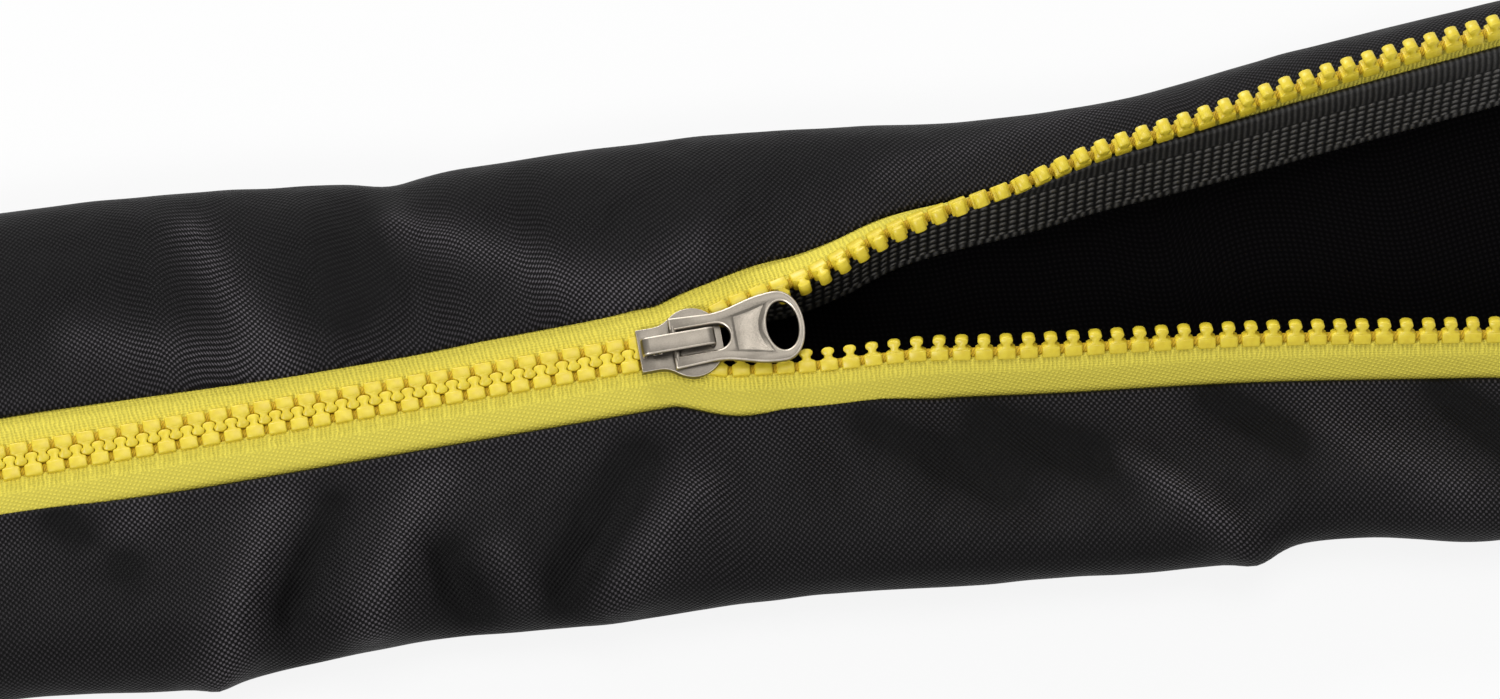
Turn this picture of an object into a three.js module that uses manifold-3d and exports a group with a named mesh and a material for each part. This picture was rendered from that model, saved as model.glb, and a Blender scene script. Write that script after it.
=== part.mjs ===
// Zipped fabric cover for a cord connection: a black woven sleeve that lies flat on its underside,
// with a yellow moulded-tooth zip along its top, closed up to the slider and gaping beyond it.
// Millimetres, +Z up. X runs along the sleeve towards the open end, Y away from the front.

import * as THREE from 'three';
import Module from 'manifold-3d';

const wasm = await Module();
wasm.setup();

// Sleeve
const SLEEVE_LENGTH = 300;
const FABRIC_THICKNESS = 0.8;
const HEM_THICKNESS = 1.5;
const HEM_WIDTH = 12;
const SEAM_ALLOWANCE = 4;
const SEAM_GAP = 0.2;
const FRONT_BULGE_HEIGHT = 10;
const BACK_BULGE_HEIGHT = 12;
const FRONT_CORNER = 15;
const BACK_CORNER = 19;
const CREST_ANGLE = 14;

// Farthest reach of the sleeve to the front and to the back, as [x, y] along its length
const FRONT_REACH = [
  [-160, -33], [-126, -35], [-101, -38.2], [-66, -37], [-33, -39.8], [0, -40.8], [34, -44.6],
  [75, -48], [86, -46.8], [117, -52.4], [160, -53.8],
];
const BACK_REACH = [
  [-160, 50.6], [-118, 48.9], [-84, 46.2], [-51, 42.9], [-17, 41.9], [16, 40], [50, 35.4],
  [66, 34.6], [101, 38.4], [135, 41.2], [160, 42],
];

// Zip
const CHAIN_Y = -1;
const CHAIN_HEIGHT = 26;
const BAND_TILT = 12;
const TOOTH_PITCH = 3.7;
const TOOTH_THICKNESS = 2.5;
const CHAIN_END_MARGIN = 9;
const ROOT_REACH = 2.7;
const MESH_GAP = 0.3;
const BEAD_INNER = 1.8;
const BEAD_OUTER = 2.5;
const BEAD_THICKNESS = 1.1;
const TAPE_THICKNESS = 0.6;
const TAPE_GAP = 0.35;
const BACK_TAPE_WIDTH = 7.6;
const FRONT_TAPE_WIDTH = 8.85;
const TAPE_END_MARGIN = 3;
const WEBBING_WIDTH = 20;
const WEBBING_THICKNESS = 0.9;
const WEBBING_DROP = 1.3;
const STOP_LENGTH = 3.2;
const STOP_THICKNESS = 3;

// Slider
const SLIDER_X = -12;
const SLIDER_LENGTH = 14;
const SLIDER_WIDTH = 11.7;
const SLIDER_REAR_WIDTH = 7.2;
const PLATE_THICKNESS = 1;
const TOOTH_CLEARANCE = 0.3;
const CAP_WIDTH = 3;
const CAP_THICKNESS = 0.8;
const CAP_REAR = -6.6;
const CAP_FRONT = 5.8;
const SPRING_WIDTH = 1.6;
const SPRING_THICKNESS = 0.4;
const PART_GAP = 0.2;

// Pull
const HINGE_X = -0.95;
const PIN_RADIUS = 0.7;
const PULL_THICKNESS = 1.3;
const PULL_LENGTH = 22.3;
const HEEL_REACH = 0.55;
const RING_WIDTH = 12;
const EYE_LENGTH = 5.3;
const EYE_WIDTH = 8.3;
const PANEL_DEPTH = 0.25;

// How each lip leaves the chain's line, by the run in mm from the place where the rows part:
// the way out sideways, the rise, and the turn of the tape in degrees about the sleeve's length.
const BACK_LIP = [
  { run: 0, out: 0, rise: 0, turn: 0 },
  { run: 1.2, out: 0.42, rise: 0, turn: 0 },
  { run: 10, out: 3.4, rise: 0, turn: 0 },
  { run: 24, out: 6.5, rise: 0.5, turn: -29 },
  { run: 42, out: 12, rise: 3.7, turn: -54 },
  { run: 60, out: 15, rise: 6.4, turn: -78 },
  { run: 78, out: 19.6, rise: 7, turn: -98 },
  { run: 96, out: 22.5, rise: 7, turn: -106 },
  { run: 113, out: 25.8, rise: 6.8, turn: -116 },
  { run: 150, out: 30.6, rise: 6.6, turn: -122 },
  { run: 175, out: 33, rise: 6, turn: -122 },
];
const FRONT_LIP = [
  { run: 0, out: 0, rise: 0, turn: 0 },
  { run: 1.2, out: 0.42, rise: 0, turn: 0 },
  { run: 10, out: 3.4, rise: 0, turn: 0 },
  { run: 24, out: 4.6, rise: -0.9, turn: 8 },
  { run: 40, out: 6, rise: 0, turn: 23 },
  { run: 55, out: 8.7, rise: 0.8, turn: 33 },
  { run: 95, out: 13.7, rise: 0.3, turn: 33 },
  { run: 132, out: 19.5, rise: -0.7, turn: 35 },
  { run: 145, out: 21.7, rise: -0.7, turn: 30 },
  { run: 175, out: 25, rise: -1, turn: 30 },
];

// Folds of the cloth: from and to are [x, share of the way round from the front seam to the back one],
// height is the swell (or the hollow, below zero) and width its half-width, in mm.
const FOLDS = [
  { from: [-84, 0.03], to: [-96, 0.16], height: 2.2, width: 6 },
  { from: [-72, 0.04], to: [-82, 0.14], height: -1.8, width: 5.5 },
  { from: [-58, 0.05], to: [-70, 0.14], height: 1.8, width: 5.5 },
  { from: [-56, 0.1], to: [-54, 0.16], height: -1.6, width: 5.5 },
  { from: [-22, 0.05], to: [-36, 0.15], height: -1.9, width: 6 },
  { from: [-14, 0.08], to: [-30, 0.16], height: 1.4, width: 6 },
  { from: [18, 0.03], to: [42, 0.12], height: -1.2, width: 5.5 },
  { from: [40, 0.03], to: [74, 0.15], height: -1.8, width: 5.5 },
  { from: [60, 0.09], to: [76, 0.2], height: 2, width: 4.5 },
  { from: [-86, 0.86], to: [-79, 0.97], height: -2.2, width: 8 },
  { from: [-108, 0.92], to: [-82, 0.97], height: -1.4, width: 7 },
  { from: [-48, 0.88], to: [-22, 0.97], height: -2.2, width: 7 },
  { from: [-54, 0.77], to: [-50, 0.84], height: -1.3, width: 5.5 },
];

const HALF_LENGTH = SLEEVE_LENGTH / 2;
const TILT = THREE.MathUtils.degToRad(BAND_TILT);
const PART_X = SLIDER_X - SLIDER_LENGTH * 0.18;
const TAPE_START = -HALF_LENGTH + TAPE_END_MARGIN;
const CHAIN_START = -HALF_LENGTH + CHAIN_END_MARGIN;
const CHAIN_END = HALF_LENGTH - CHAIN_END_MARGIN;
const CORD_REACH = (BEAD_INNER + BEAD_OUTER) / 2;
const TEETH_PER_ROW = Math.floor((CHAIN_END - CHAIN_START) / TOOTH_PITCH) - 1;

// Smooth curve through [x, value] points that never swings past them
function smooth(points, x) {
  const last = points.length - 1;
  if (x <= points[0][0]) return points[0][1];
  if (x >= points[last][0]) return points[last][1];
  const slope = (i) => (points[i + 1][1] - points[i][1]) / (points[i + 1][0] - points[i][0]);
  const tangent = (i) => {
    if (i === 0) return slope(0);
    if (i === last) return slope(last - 1);
    const before = slope(i - 1);
    const after = slope(i);
    return before * after <= 0 ? 0 : (2 * before * after) / (before + after);
  };
  const i = points.findIndex((point, index) => index < last && x < points[index + 1][0]);
  const span = points[i + 1][0] - points[i][0];
  const t = (x - points[i][0]) / span;
  const [a, b] = [points[i][1], points[i + 1][1]];
  return (2 * t ** 3 - 3 * t ** 2 + 1) * a + (t ** 3 - 2 * t ** 2 + t) * span * tangent(i)
    + (3 * t ** 2 - 2 * t ** 3) * b + (t ** 3 - t ** 2) * span * tangent(i + 1);
}

// The two sides differ in the way they lead out from the chain
const BACK = { side: 1, lip: BACK_LIP, tapeWidth: BACK_TAPE_WIDTH };
const FRONT = { side: -1, lip: FRONT_LIP, tapeWidth: FRONT_TAPE_WIDTH };

function lipValue(half, key, x) {
  return smooth(half.lip.map((row) => [row.run, row[key]]), x - PART_X);
}

// The line that a row of teeth is set out on: its point in the section at x, and the direction
// from the teeth out to the seam
function rowLine(half, x) {
  const out = half.side * lipValue(half, 'out', x);
  const rise = lipValue(half, 'rise', x);
  const turn = THREE.MathUtils.degToRad(lipValue(half, 'turn', x));
  const angle = half.side > 0 ? TILT + turn : Math.PI + TILT + turn;
  const inSlider = x - PART_X <= half.lip[2].run;
  const point = new THREE.Vector2(
    CHAIN_Y + out * (inSlider ? Math.cos(TILT) : 1),
    CHAIN_HEIGHT + rise + lipLift(half, x),
  );
  return { point, outward: new THREE.Vector2(Math.cos(angle), Math.sin(angle)) };
}

// Inside the slider the rows part along the tilted plane of the chain, and beyond it that lift stays
function lipLift(half, x) {
  const inside = Math.min(x - PART_X, half.lip[2].run);
  const out = smooth(half.lip.map((row) => [row.run, row.out]), inside);
  return half.side * out * Math.sin(TILT);
}

function seamPoint(half, x) {
  const { point, outward } = rowLine(half, x);
  return point.clone().addScaledVector(outward, half.tapeWidth);
}

// What is turned in at the back seam hangs square to the zip while that lies flat, and straight
// down where the lip stands up; at the front seam it hangs straight down
function hangingWay(half, x) {
  const turn = THREE.MathUtils.degToRad(lipValue(half, 'turn', x));
  const lean = half.side > 0 ? Math.max(0, TILT + turn) : 0;
  return new THREE.Vector2(Math.sin(lean), -Math.cos(lean));
}

// Rows of section points, one row per x, joined into one closed solid with flat ends
function loft(sections) {
  const around = sections[0].length;
  const positions = sections.flat().flatMap((point) => point.toArray());
  const index = [];
  for (let i = 0; i < sections.length - 1; i += 1) {
    for (let j = 0; j < around; j += 1) {
      const a = i * around + j;
      const b = i * around + ((j + 1) % around);
      index.push(a, b + around, b, a, a + around, b + around);
    }
  }
  const half = around / 2;
  const base = (sections.length - 1) * around;
  for (let j = 0; j < half - 1; j += 1) {
    const k = around - 1 - j;
    index.push(j, k - 1, k, j, j + 1, k - 1);
    index.push(base + j, base + k - 1, base + j + 1, base + j, base + k, base + k - 1);
  }
  const geometry = new THREE.BufferGeometry();
  geometry.setAttribute('position', new THREE.Float32BufferAttribute(positions, 3));
  geometry.setIndex(index);
  return geometry;
}

// A strip's section: its centre line in the YZ plane, thickened by the two given offsets
function thickened(line, x, left, right) {
  const sides = [left, right].map((offset) => line.map((point, i) => {
    const before = line[Math.max(i - 1, 0)];
    const after = line[Math.min(i + 1, line.length - 1)];
    const one = point.clone().sub(before).normalize();
    const two = after.clone().sub(point).normalize();
    if (i === 0) one.copy(two);
    if (i === line.length - 1) two.copy(one);
    const mean = one.clone().add(two).normalize();
    const reach = offset / Math.max(mean.dot(one), 0.6);
    return new THREE.Vector3(x, point.x - mean.y * reach, point.y + mean.x * reach);
  }));
  return [...sides[0], ...sides[1].reverse()];
}

function range(from, to, step) {
  const count = Math.max(1, Math.round((to - from) / step));
  return Array.from({ length: count + 1 }, (_, i) => from + ((to - from) * i) / count);
}

// The sections of the open part, shared by the cloth and the tapes sewn to it: close together
// where the rows part, and farther apart along the lips
const PARTED_X = PART_X + BACK_LIP[2].run;
const HEM_START = HALF_LENGTH - HEM_WIDTH;
const OPEN_STOPS = [
  ...range(PART_X, PART_X + BACK_LIP[1].run, 1),
  ...range(PART_X + BACK_LIP[1].run, PARTED_X, 2.8).slice(1),
  ...range(PARTED_X, HEM_START, 9).slice(1),
];

function lipStops(from, to) {
  return [from, ...OPEN_STOPS.filter((x) => x < to - 0.5), to];
}

function foldSwell(x, share, girth) {
  let swell = 0;
  for (const fold of FOLDS) {
    const ax = x - fold.from[0];
    const ay = (share - fold.from[1]) * girth;
    const bx = fold.to[0] - fold.from[0];
    const by = (fold.to[1] - fold.from[1]) * girth;
    const t = THREE.MathUtils.clamp((ax * bx + ay * by) / (bx * bx + by * by), 0, 1);
    const distance = Math.hypot(ax - bx * t, ay - by * t) / fold.width;
    swell += fold.height * Math.exp(-distance * distance);
  }
  return swell;
}

// The cloth's centre line round one section, from the front seam allowance, under the sleeve
// and up to the back one
function sleeveLine(x) {
  const half = FABRIC_THICKNESS / 2;
  const front = seamPoint(FRONT, x);
  const back = seamPoint(BACK, x);
  const step = TAPE_THICKNESS / 2 + SEAM_GAP + half;
  front.x -= step;
  back.x += step;
  const crest = THREE.MathUtils.degToRad(CREST_ANGLE);
  const low = TAPE_THICKNESS / 2;
  const reach = { front: smooth(FRONT_REACH, x), back: smooth(BACK_REACH, x) };
  const anchors = [
    { at: [front.x, front.y - low], way: [-Math.cos(2 * crest), -Math.sin(2 * crest)], steps: 5 },
    { at: [reach.front, FRONT_BULGE_HEIGHT], way: [0, -1], steps: 3 },
    { at: [reach.front + FRONT_CORNER, half], way: [1, 0], steps: 3 },
    { at: [reach.back - BACK_CORNER, half], way: [1, 0], steps: 3 },
    { at: [reach.back, BACK_BULGE_HEIGHT], way: [0, 1], steps: 6 },
    { at: [back.x, back.y - low], way: [-Math.cos(crest), -Math.sin(crest)], steps: 0 },
  ];
  const line = [front.clone().addScaledVector(hangingWay(FRONT, x), SEAM_ALLOWANCE)];
  anchors.slice(0, -1).forEach((anchor, i) => {
    const next = anchors[i + 1];
    const span = Math.hypot(next.at[0] - anchor.at[0], next.at[1] - anchor.at[1]) * 0.42;
    const curve = new THREE.CubicBezierCurve(
      new THREE.Vector2(...anchor.at),
      new THREE.Vector2(anchor.at[0] + anchor.way[0] * span, anchor.at[1] + anchor.way[1] * span),
      new THREE.Vector2(next.at[0] - next.way[0] * span, next.at[1] - next.way[1] * span),
      new THREE.Vector2(...next.at),
    );
    line.push(...curve.getPoints(anchor.steps).slice(i === 0 ? 0 : 1));
  });
  line.push(back.clone().addScaledVector(hangingWay(BACK, x), SEAM_ALLOWANCE));
  return withFolds(line, x);
}

// Folds move the cloth along its outward side, but leave the seams and the flat underside alone
function withFolds(line, x) {
  const lengths = [0];
  line.forEach((point, i) => {
    if (i > 0) lengths.push(lengths[i - 1] + point.distanceTo(line[i - 1]));
  });
  const girth = lengths[line.length - 1];
  const floor = FABRIC_THICKNESS / 2;
  return line.map((point, i) => {
    const share = lengths[i] / girth;
    const seamward = Math.min(i - 1, line.length - 2 - i) / 3;
    const weight = THREE.MathUtils.clamp(seamward, 0, 1) * THREE.MathUtils.clamp((point.y - floor) / 4, 0, 1);
    if (weight === 0) return point;
    const along = line[i + 1].clone().sub(line[i - 1]).normalize();
    const outward = new THREE.Vector2(along.y, -along.x);
    const moved = point.clone().addScaledVector(outward, weight * foldSwell(x, share, girth));
    moved.y = Math.max(moved.y, floor);
    return moved;
  });
}

function sleeveGeometry() {
  const stops = [
    -HALF_LENGTH,
    -HEM_START,
    ...range(1 - HEM_START, PART_X, 10),
    ...OPEN_STOPS.slice(1, -1),
    HEM_START - 1,
    HEM_START,
    HALF_LENGTH,
  ];
  return loft(stops.map((x) => {
    const inHem = Math.abs(x) > HEM_START - 0.5;
    const inner = (inHem ? HEM_THICKNESS : FABRIC_THICKNESS) - FABRIC_THICKNESS / 2;
    return thickened(sleeveLine(x), x, inner, -FABRIC_THICKNESS / 2);
  }));
}

// A tape lies flat from the teeth to the seam, where it turns down into the seam allowance
function tapeGeometry(half) {
  const edge = ROOT_REACH + TAPE_GAP;
  return loft(lipStops(TAPE_START, -TAPE_START).map((x) => {
    const { point, outward } = rowLine(half, x);
    const seam = seamPoint(half, x);
    const way = hangingWay(half, x);
    const line = [
      point.clone().addScaledVector(outward, edge),
      point.clone().addScaledVector(outward, half.tapeWidth - 1),
      seam.clone().addScaledVector(way, 1),
      seam.clone().addScaledVector(way, SEAM_ALLOWANCE),
    ];
    if (half.side > 0) line.reverse();
    return thickened(line, x, TAPE_THICKNESS / 2, -TAPE_THICKNESS / 2);
  }));
}

function webbingGeometry() {
  const inset = TAPE_THICKNESS / 2 + SEAM_GAP + WEBBING_THICKNESS / 2;
  return loft(lipStops(TAPE_START, -TAPE_START).map((x) => {
    const way = hangingWay(BACK, x);
    const inward = new THREE.Vector2(way.y, -way.x);
    const top = seamPoint(BACK, x).addScaledVector(inward, inset).addScaledVector(way, WEBBING_DROP);
    const line = [top.clone().addScaledVector(way, WEBBING_WIDTH), top];
    return thickened(line, x, WEBBING_THICKNESS / 2, -WEBBING_THICKNESS / 2);
  }));
}

// One tooth in plan: x along the chain, y out towards the tape. The head and neck follow the wavy
// line that the two rows share, less half the gap between them.
function toothShape() {
  const gap = MESH_GAP / 2;
  const meet = TOOTH_PITCH / 4;
  const head = TOOTH_PITCH * 0.34;
  const neck = 2 * meet - head;
  const side = [
    [TOOTH_PITCH * 0.2, -0.98 + gap],
    [head - gap, -0.45],
    [neck - gap, 0.45 + gap / 2],
    [TOOTH_PITCH * 0.41, 1.05 + gap],
    [TOOTH_PITCH * 0.41, ROOT_REACH],
  ];
  const outline = [...side, ...side.map(([x, y]) => [-x, y]).reverse()];
  return new THREE.Shape(outline.map(([x, y]) => new THREE.Vector2(x, y)));
}

function solidOf(geometry) {
  const flat = geometry.index ? geometry.toNonIndexed() : geometry;
  const source = flat.getAttribute('position');
  const seen = new Map();
  const vertices = [];
  const triangles = [];
  for (let i = 0; i < source.count; i += 1) {
    const point = [source.getX(i), source.getY(i), source.getZ(i)].map((value) => Math.round(value * 1e5) / 1e5);
    const key = point.join();
    if (!seen.has(key)) {
      seen.set(key, vertices.length / 3);
      vertices.push(...point);
    }
    triangles.push(seen.get(key));
  }
  const faces = [];
  for (let i = 0; i < triangles.length; i += 3) {
    const [a, b, c] = triangles.slice(i, i + 3);
    if (a !== b && b !== c && c !== a) faces.push(a, b, c);
  }
  return new wasm.Manifold(new wasm.Mesh({
    numProp: 3,
    vertProperties: new Float32Array(vertices),
    triVerts: new Uint32Array(faces),
  }));
}

function geometryOf(solid) {
  const { vertProperties, triVerts, numProp } = solid.getMesh();
  const positions = [];
  for (let i = 0; i < vertProperties.length; i += numProp) {
    positions.push(vertProperties[i], vertProperties[i + 1], vertProperties[i + 2]);
  }
  const geometry = new THREE.BufferGeometry();
  geometry.setAttribute('position', new THREE.Float32BufferAttribute(positions, 3));
  geometry.setIndex(Array.from(triVerts));
  return geometry;
}

// The place and the turned axes of a tooth at x. It turns about the corded edge that holds it, so
// that the heads fan out where the lip bends away and come free of the other row.
function rowFrame(half, x) {
  const at = rowLine(half, x);
  const next = rowLine(half, x + 0.5).point;
  const before = rowLine(half, x - 0.5).point;
  const along = new THREE.Vector3(1, next.x - before.x, next.y - before.y).normalize();
  const square = new THREE.Vector3(0, at.outward.x, at.outward.y);
  const outward = square.clone().addScaledVector(along, -square.dot(along)).normalize();
  const up = new THREE.Vector3().crossVectors(along, outward);
  const place = new THREE.Vector3(x, at.point.x, at.point.y);
  place.addScaledVector(square, CORD_REACH).addScaledVector(outward, -CORD_REACH);
  return new THREE.Matrix4().makeBasis(along, outward, up).setPosition(place);
}

// Where the teeth of a row stand: one pitch apart along the row's own line
function toothPlaces(half) {
  const places = [];
  let x = CHAIN_START + TOOTH_PITCH * (half.side > 0 ? 1 : 0.5);
  while (places.length < TEETH_PER_ROW && x < CHAIN_END - TOOTH_PITCH) {
    places.push(x);
    const here = rowLine(half, x).point;
    const there = rowLine(half, x + TOOTH_PITCH).point;
    x += TOOTH_PITCH * (TOOTH_PITCH / Math.hypot(TOOTH_PITCH, there.x - here.x, there.y - here.y));
  }
  return places;
}

// A row: every tooth moulded on the corded edge of its tape
function rowGeometry(half) {
  const places = toothPlaces(half);
  const shape = toothShape();
  const start = CHAIN_START;
  const end = places[places.length - 1] + TOOTH_PITCH / 2;
  const bead = loft(lipStops(start, end).map((x) => {
    const { point, outward } = rowLine(half, x);
    const line = [BEAD_INNER, BEAD_OUTER].map((reach) => point.clone().addScaledVector(outward, reach));
    if (half.side > 0) line.reverse();
    return thickened(line, x, BEAD_THICKNESS / 2, -BEAD_THICKNESS / 2);
  }));
  let row = solidOf(bead);
  for (const x of places) {
    const tooth = new THREE.ExtrudeGeometry(shape, { depth: TOOTH_THICKNESS, bevelEnabled: false });
    tooth.translate(0, 0, -TOOTH_THICKNESS / 2);
    tooth.applyMatrix4(rowFrame(half, x));
    row = row.add(solidOf(tooth));
  }
  return geometryOf(row);
}

function block(length, from, to, thickness) {
  const shape = new THREE.Shape([
    new THREE.Vector2(-length / 2, from),
    new THREE.Vector2(length / 2, from),
    new THREE.Vector2(length / 2, to),
    new THREE.Vector2(-length / 2, to),
  ]);
  const geometry = new THREE.ExtrudeGeometry(shape, { depth: thickness, bevelEnabled: false });
  return geometry.translate(0, 0, -thickness / 2);
}

function bottomStopGeometry() {
  const reach = ROOT_REACH;
  const geometry = block(STOP_LENGTH, -reach, reach, STOP_THICKNESS);
  return geometry.applyMatrix4(rowFrame(BACK, CHAIN_START - STOP_LENGTH / 2 - PART_GAP));
}

function topStopGeometry(half) {
  const places = toothPlaces(half);
  const x = places[places.length - 1] + TOOTH_PITCH / 2 + PART_GAP + STOP_LENGTH / 2;
  const geometry = block(STOP_LENGTH, -0.4, ROOT_REACH, STOP_THICKNESS);
  return geometry.applyMatrix4(rowFrame(half, x));
}

// Heights in the slider, measured from the middle of the chain
const PLATE_UNDER = TOOTH_THICKNESS / 2 + TOOTH_CLEARANCE;
const PLATE_TOP = PLATE_UNDER + PLATE_THICKNESS;
const PIN_HEIGHT = PLATE_TOP + PART_GAP + PIN_RADIUS;
const SPRING_UNDER = PIN_HEIGHT + PIN_RADIUS + PART_GAP;
const CAP_UNDER = SPRING_UNDER + SPRING_THICKNESS + PART_GAP;

function prism(shape, low, high, segments = 8) {
  const geometry = new THREE.ExtrudeGeometry(shape, {
    depth: high - low,
    bevelEnabled: false,
    curveSegments: segments,
  });
  return geometry.translate(0, 0, low);
}

// Outline of both plates: a narrow tail, shoulders, and a nose between the two mouths
function plateShape() {
  const tail = -SLIDER_LENGTH / 2;
  const nose = SLIDER_LENGTH / 2;
  const narrow = SLIDER_REAR_WIDTH / 2;
  const wide = SLIDER_WIDTH / 2;
  const shape = new THREE.Shape();
  shape.moveTo(tail, -narrow);
  shape.lineTo(tail + 3, -narrow);
  shape.bezierCurveTo(tail + 5.5, -narrow, tail + 6, -wide, tail + 9, -wide);
  shape.bezierCurveTo(tail + 11.5, -wide, nose - 0.6, -narrow - 0.6, nose, -1.8);
  shape.lineTo(nose, 1.8);
  shape.bezierCurveTo(nose - 0.6, narrow + 0.6, tail + 11.5, wide, tail + 9, wide);
  shape.bezierCurveTo(tail + 6, wide, tail + 5.5, narrow, tail + 3, narrow);
  shape.lineTo(tail, narrow);
  return shape;
}

// The passage for the teeth: one channel at the tail that opens past the shoulders
function channelShape() {
  const tail = -SLIDER_LENGTH / 2;
  const chain = ROOT_REACH + 0.25;
  const points = [[tail - 1, chain], [-2, chain], [2.4, SLIDER_WIDTH / 2 - 0.8], [2.4, SLIDER_WIDTH],
    [SLIDER_LENGTH, SLIDER_WIDTH]];
  return new THREE.Shape([
    ...points.map(([x, y]) => new THREE.Vector2(x, y)),
    ...points.reverse().map(([x, y]) => new THREE.Vector2(x, -y)),
  ]);
}

// The post that joins the plates and holds the two rows apart
function postShape() {
  const nose = SLIDER_LENGTH / 2;
  const shape = new THREE.Shape();
  shape.moveTo(1.8, 0);
  shape.quadraticCurveTo(3.4, -0.5, 5, -1.3);
  shape.lineTo(nose - 0.5, -1.3);
  shape.lineTo(nose - 0.5, 1.3);
  shape.lineTo(5, 1.3);
  shape.quadraticCurveTo(3.4, 0.5, 1.8, 0);
  return shape;
}

function sliderBodyGeometry() {
  const slot = TAPE_THICKNESS / 2 + TOOTH_CLEARANCE;
  const window = block(1.4, -SPRING_WIDTH / 2 - PART_GAP, SPRING_WIDTH / 2 + PART_GAP, 3);
  window.translate(CLAW_X, 0, PLATE_TOP);
  const slotBox = block(SLIDER_LENGTH * 2, -SLIDER_WIDTH, SLIDER_WIDTH, 2 * slot);
  const body = solidOf(prism(plateShape(), -PLATE_TOP, PLATE_TOP))
    .subtract(solidOf(prism(channelShape(), -PLATE_UNDER, PLATE_UNDER)))
    .subtract(solidOf(slotBox))
    .add(solidOf(prism(postShape(), -PLATE_UNDER - PLATE_THICKNESS / 2, PLATE_UNDER + PLATE_THICKNESS / 2)))
    .subtract(solidOf(window));
  return geometryOf(body);
}

const CLAW_X = -4;

// A profile drawn in the slider's XZ plane, given a width across it
function crosswise(shape, width) {
  const geometry = new THREE.ExtrudeGeometry(shape, { depth: width, bevelEnabled: false, curveSegments: 5 });
  return geometry.translate(0, 0, -width / 2).rotateX(Math.PI / 2);
}

// The cap: a bent strip that stands on the top plate at both ends
function capGeometry() {
  const foot = PLATE_TOP + PART_GAP;
  const top = CAP_UNDER + CAP_THICKNESS;
  const round = 1.4;
  const shape = new THREE.Shape();
  shape.moveTo(CAP_REAR, foot);
  shape.lineTo(CAP_REAR, top - round);
  shape.quadraticCurveTo(CAP_REAR, top, CAP_REAR + round, top);
  shape.lineTo(CAP_FRONT - round, top);
  shape.quadraticCurveTo(CAP_FRONT, top, CAP_FRONT, top - round);
  shape.lineTo(CAP_FRONT, foot);
  shape.lineTo(CAP_FRONT - CAP_THICKNESS, foot);
  shape.lineTo(CAP_FRONT - CAP_THICKNESS, CAP_UNDER - 0.6);
  shape.lineTo(CAP_FRONT - CAP_THICKNESS - 0.6, CAP_UNDER);
  shape.lineTo(CAP_REAR + CAP_THICKNESS + 0.6, CAP_UNDER);
  shape.lineTo(CAP_REAR + CAP_THICKNESS, CAP_UNDER - 0.6);
  shape.lineTo(CAP_REAR + CAP_THICKNESS, foot);
  return crosswise(shape, CAP_WIDTH);
}

// The lock spring: a flat strip under the cap, with its claw down through the top plate
function springGeometry() {
  const claw = TOOTH_THICKNESS / 2 + PART_GAP;
  const low = SPRING_UNDER;
  const high = SPRING_UNDER + SPRING_THICKNESS;
  const shape = new THREE.Shape([
    [CLAW_X - SPRING_THICKNESS / 2, claw],
    [CLAW_X + SPRING_THICKNESS / 2, claw],
    [CLAW_X + SPRING_THICKNESS / 2, low],
    [CAP_FRONT - CAP_THICKNESS - 1, low],
    [CAP_FRONT - CAP_THICKNESS - 1, high],
    [CLAW_X - SPRING_THICKNESS / 2, high],
  ].map(([x, z]) => new THREE.Vector2(x, z)));
  return crosswise(shape, SPRING_WIDTH);
}

// The pull in plan, from its hinge: two arms, a waist, and a ring
function pullShape() {
  const heel = -HEEL_REACH;
  const toe = heel + PULL_LENGTH;
  const ring = RING_WIDTH / 2;
  const waist = 4;
  const ringX = toe - 4.1;
  const slot = CAP_WIDTH / 2 + 0.7;
  const slotEnd = 7.05;
  const shape = new THREE.Shape();
  shape.moveTo(heel, -waist - 0.4);
  shape.lineTo(5.45, -waist - 0.1);
  shape.bezierCurveTo(9.95, -waist + 0.2, ringX - 5.5, -ring, ringX, -ring);
  shape.bezierCurveTo(ringX + 2.4, -ring, toe, -3.4, toe, 0);
  shape.bezierCurveTo(toe, 3.4, ringX + 2.4, ring, ringX, ring);
  shape.bezierCurveTo(ringX - 5.5, ring, 9.95, waist - 0.2, 5.45, waist + 0.1);
  shape.lineTo(heel, waist + 0.4);
  shape.lineTo(heel, slot);
  shape.lineTo(slotEnd, slot);
  shape.absarc(slotEnd, 0, slot, Math.PI / 2, -Math.PI / 2, true);
  shape.lineTo(heel, -slot);
  const eye = new THREE.Path();
  eye.absellipse(toe - 1 - EYE_LENGTH / 2, 0, EYE_LENGTH / 2, EYE_WIDTH / 2, 0, 2 * Math.PI, false);
  shape.holes.push(eye);
  return shape;
}

function panelShape() {
  const eyeX = PULL_LENGTH - HEEL_REACH - 1 - EYE_LENGTH / 2;
  const shape = new THREE.Shape();
  shape.moveTo(9.95, -3.2);
  shape.quadraticCurveTo(12.8, -3.4, eyeX - 1.6, -4.6);
  shape.quadraticCurveTo(eyeX - 4.4, 0, eyeX - 1.6, 4.6);
  shape.quadraticCurveTo(12.8, 3.4, 9.95, 3.2);
  return shape;
}

function pullGeometry() {
  const half = PULL_THICKNESS / 2;
  const pin = new THREE.CylinderGeometry(PIN_RADIUS, PIN_RADIUS, CAP_WIDTH + 3, 10);
  const pull = solidOf(prism(pullShape(), -half, half, 7))
    .subtract(solidOf(prism(panelShape(), half - PANEL_DEPTH, half + 1, 6)))
    .subtract(solidOf(prism(panelShape(), -half - 1, PANEL_DEPTH - half, 6)))
    .add(solidOf(pin));
  return geometryOf(pull);
}

function material(color, roughness, metalness) {
  return new THREE.MeshStandardMaterial({ color, roughness, metalness });
}

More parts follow.
